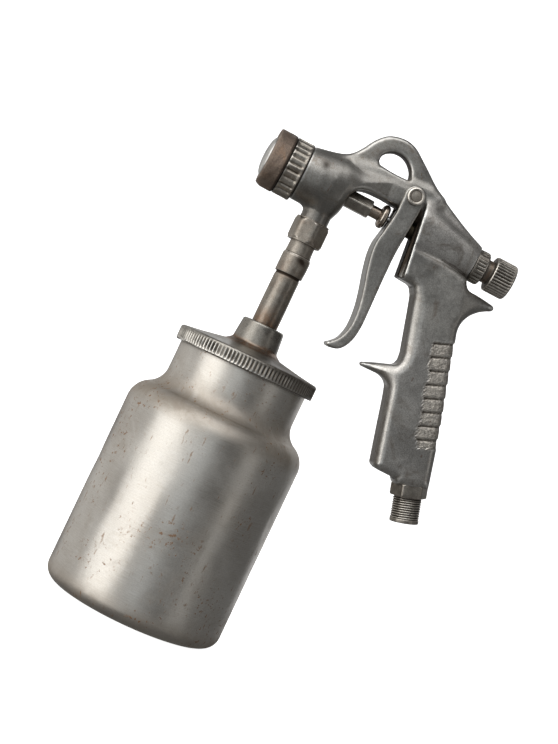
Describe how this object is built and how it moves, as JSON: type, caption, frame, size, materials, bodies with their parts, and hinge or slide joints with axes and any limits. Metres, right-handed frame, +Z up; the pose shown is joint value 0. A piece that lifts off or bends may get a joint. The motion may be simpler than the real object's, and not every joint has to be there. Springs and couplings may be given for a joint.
{
  "type": "suction-feed spray gun",
  "caption": "Suction-feed spray gun: cast body with hook, trigger and grip, on a screw-on aluminium cup, with a knurled rear knob and an air inlet at the grip's foot.",
  "frame": {"origin": "centre of the cup's flat base", "axes": "+Z up the axis of the cup, lid and fluid tube; nozzle towards -X, grip towards +X; trigger, hook and needle in the XZ plane"},
  "size_m": [0.1803, 0.105, 0.3041],
  "materials": {
    "cast_alloy": "worn satin, with polished edges",
    "spun_aluminium": "brushed around the cup, spotted",
    "lid_alloy": "worn satin",
    "turned_alloy": "turned satin",
    "pale_alloy": "satin",
    "worn_steel": "worn satin",
    "dark_steel": "dull, darkened",
    "tarnished_steel": "tarnished satin",
    "browned_steel": "dull brown",
    "stainless": "polished",
    "spring_steel": "drawn wire",
    "brass": "turned",
    "worn_brass": "worn and dulled",
    "ptfe": "matt white",
    "seal_rubber": "matt black",
    "gasket": "matt, cork rubber"
  },
  "bodies": {
    "gun": {"body_casting": "cast_alloy", "fluid_nozzle": "brass", "air_baffle": "turned_alloy", "gland_housing": "worn_steel", "gland_screw": "worn_brass", "needle_packing": "ptfe", "rear_bush": "worn_steel", "valve_guide": "brass", "air_valve_spring": "spring_steel", "trigger_pin": "worn_steel", "trigger_pin_screw": "worn_steel", "air_inlet_nipple": "dark_steel", "fluid_tailpiece": "tarnished_steel", "fluid_tube": "tarnished_steel", "cup_lid": "lid_alloy", "pickup_tube": "turned_alloy"},
    "retaining_ring": {"retaining_ring": "worn_steel"},
    "air_cap": {"air_cap": "browned_steel", "air_cap_insert": "pale_alloy"},
    "trigger": {"trigger": "cast_alloy"},
    "air_valve": {"air_valve_stem": "brass", "air_valve_seal": "seal_rubber"},
    "needle": {"fluid_needle": "stainless", "needle_collar": "brass"},
    "spring_seat": {"spring_seat": "brass", "needle_spring": "spring_steel"},
    "fluid_knob": {"fluid_knob": "dark_steel"},
    "coupling_nut": {"coupling_nut": "tarnished_steel"},
    "cup_gasket": {"lid_gasket": "gasket"},
    "cup": {"cup": "spun_aluminium"}
  },
  "joints": [
    {"name": "trigger_pull", "type": "hinge", "parent": "gun", "child": "trigger", "pos_m": [0.04479, 0, 0.27678], "axis": [0, -1, 0], "range_deg": [0, 10], "stiffness_Nm_per_rad": 0.9, "springref_deg": -20.05},
    {"name": "air_valve_slide", "type": "slide", "parent": "gun", "child": "air_valve", "axis": [0.9996, 0, -0.0297], "range_m": [0, 0.0032], "deforming": ["air_valve_spring"]},
    {"name": "needle_slide", "type": "slide", "parent": "gun", "child": "needle", "axis": [0.9996, 0, -0.0297], "range_m": [0, 0.0022], "deforming": ["needle_spring"]},
    {"name": "knob_travel", "type": "slide", "parent": "gun", "child": "spring_seat", "axis": [0.9996, 0, -0.0297], "range_m": [-0.003, 0.002]},
    {"name": "knob_turn", "type": "hinge", "parent": "spring_seat", "child": "fluid_knob", "pos_m": [0.09996, 0, 0.25803], "axis": [0.9996, 0, -0.0297], "range_deg": [-1085, 725]},
    {"name": "ring_turn", "type": "hinge", "parent": "gun", "child": "retaining_ring", "pos_m": [-0.02199, 0, 0.26165], "axis": [0.9996, 0, -0.0297], "range_deg": [-60, 0]},
    {"name": "air_cap_turn", "type": "hinge", "parent": "gun", "child": "air_cap", "pos_m": [-0.03299, 0, 0.26198], "axis": [0.9996, 0, -0.0297], "range_deg": [-90, 90]},
    {"name": "coupling_nut_turn", "type": "hinge", "parent": "gun", "child": "coupling_nut", "pos_m": [0, 0, 0.2333], "axis": [0, 0, 1], "continuous": true},
    {"name": "cup_lower", "type": "slide", "parent": "gun", "child": "cup_gasket", "axis": [0, 0, -1], "range_m": [0, 0.0046]},
    {"name": "cup_turn", "type": "hinge", "parent": "cup_gasket", "child": "cup", "pos_m": [0, 0, 0.15], "axis": [0, 0, -1], "range_deg": [0, 540]}
  ],
  "couplings": [
    {"joint": "air_valve_slide", "follows": "trigger_pull", "m_per_rad": 0.01756},
    {"joint": "needle_slide", "follows": "trigger_pull", "m_per_rad": 0.0119},
    {"joint": "knob_turn", "follows": "knob_travel", "rad_per_m": 6283.2},
    {"joint": "cup_lower", "follows": "cup_turn", "m_per_rad": 0.00047746}
  ]
}
